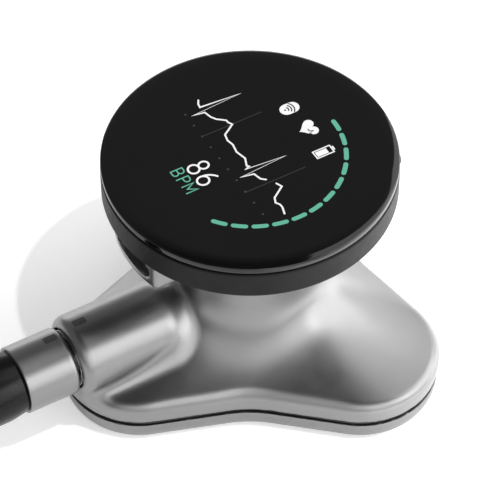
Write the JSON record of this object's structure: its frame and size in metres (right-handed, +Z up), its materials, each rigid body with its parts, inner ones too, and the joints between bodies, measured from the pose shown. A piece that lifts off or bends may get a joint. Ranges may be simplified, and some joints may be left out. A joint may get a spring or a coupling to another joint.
{
  "type": "digital stethoscope",
  "caption": "Stethoscope with a lobed metal listening head, round display, charging socket, pull-off hose and sprung headset.",
  "frame": {"origin": "centre of the diaphragm's flat lower face, on the plane that the head rests on", "axes": "+Z up through the display, -X along the stem towards the hose, and y = 0 is the head's plane of symmetry"},
  "size_m": [0.3975, 0.168, 0.0402],
  "materials": {
    "satin_silver": "bead blasted, clear anodised",
    "base_grey": "fine satin paint",
    "black_plastic": "fine matt texture",
    "black_glass": "polished, black backed",
    "soft_black": "smooth matt",
    "steel": "fine brushed",
    "brass": "plain",
    "board_green": "solder mask",
    "cell_blue": "shrink sleeve",
    "amber_film": "polyimide film",
    "membrane_grey": "smooth resin sheet"
  },
  "bodies": {
    "chestpiece": {"body_shell": "satin_silver", "base_plate": "base_grey", "seam_gasket": "soft_black", "base_screw_1": "steel", "base_screw_2": "steel", "base_screw_3": "steel", "diaphragm": "membrane_grey", "diaphragm_rim": "soft_black", "electrode_1": "steel", "electrode_2": "steel", "electrode_3": "steel", "electrode_contact_1": "brass", "electrode_contact_2": "brass", "electrode_contact_3": "brass", "microphone": "steel", "microphone_boot": "soft_black", "main_board": "board_green", "battery": "cell_blue", "battery_cradle": "black_plastic", "speaker_capsule": "steel", "display_ribbon": "amber_film", "usb_socket": "steel", "button_switch": "black_plastic", "display_housing": "black_plastic", "display_seal": "soft_black", "display_panel": "black_glass", "display_glass": "black_glass"},
    "button": {"power_button": "black_plastic"},
    "tubing": {"hose_plug": "steel", "plug_o_ring": "soft_black", "hose_ferrule": "satin_silver", "hose": "soft_black", "yoke": "soft_black", "yoke_spring": "steel"},
    "left_arm": {"left_leg": "soft_black", "left_collar": "black_plastic"},
    "left_ear_piece": {"left_ear_tube": "steel", "left_ear_insert": "black_plastic", "left_ear_tip": "soft_black"},
    "right_arm": {"right_leg": "soft_black", "right_collar": "black_plastic"},
    "right_ear_piece": {"right_ear_tube": "steel", "right_ear_insert": "black_plastic", "right_ear_tip": "soft_black"}
  },
  "joints": [
    {"name": "button_press", "type": "slide", "parent": "chestpiece", "child": "button", "axis": [-1, 0, 0], "range_m": [0, 0.0006], "stiffness_N_per_m": 2500},
    {"name": "hose_unplug", "type": "slide", "parent": "chestpiece", "child": "tubing", "axis": [-1, 0, 0], "range_m": [0, 0.016]},
    {"name": "left_arm_spread", "type": "hinge", "parent": "tubing", "child": "left_arm", "pos_m": [-0.006, -0.0865, 0.0061], "axis": [0, 0, 1], "range_deg": [0, 20], "stiffness_Nm_per_rad": 1.5, "springref_deg": -8.59},
    {"name": "right_arm_spread", "type": "hinge", "parent": "tubing", "child": "right_arm", "pos_m": [-0.006, -0.1055, 0.0061], "axis": [0, 0, -1], "range_deg": [0, 20], "stiffness_Nm_per_rad": 1.5, "springref_deg": -8.59},
    {"name": "left_ear_turn", "type": "hinge", "parent": "left_arm", "child": "left_ear_piece", "pos_m": [0.0583, -0.0621, 0.00474], "axis": [-0.9643, -0.263, 0.0301], "range_deg": [-4, 25]},
    {"name": "right_ear_turn", "type": "hinge", "parent": "right_arm", "child": "right_ear_piece", "pos_m": [0.0583, -0.1299, 0.00474], "axis": [0.9643, -0.263, -0.0301], "range_deg": [-4, 25]}
  ]
}
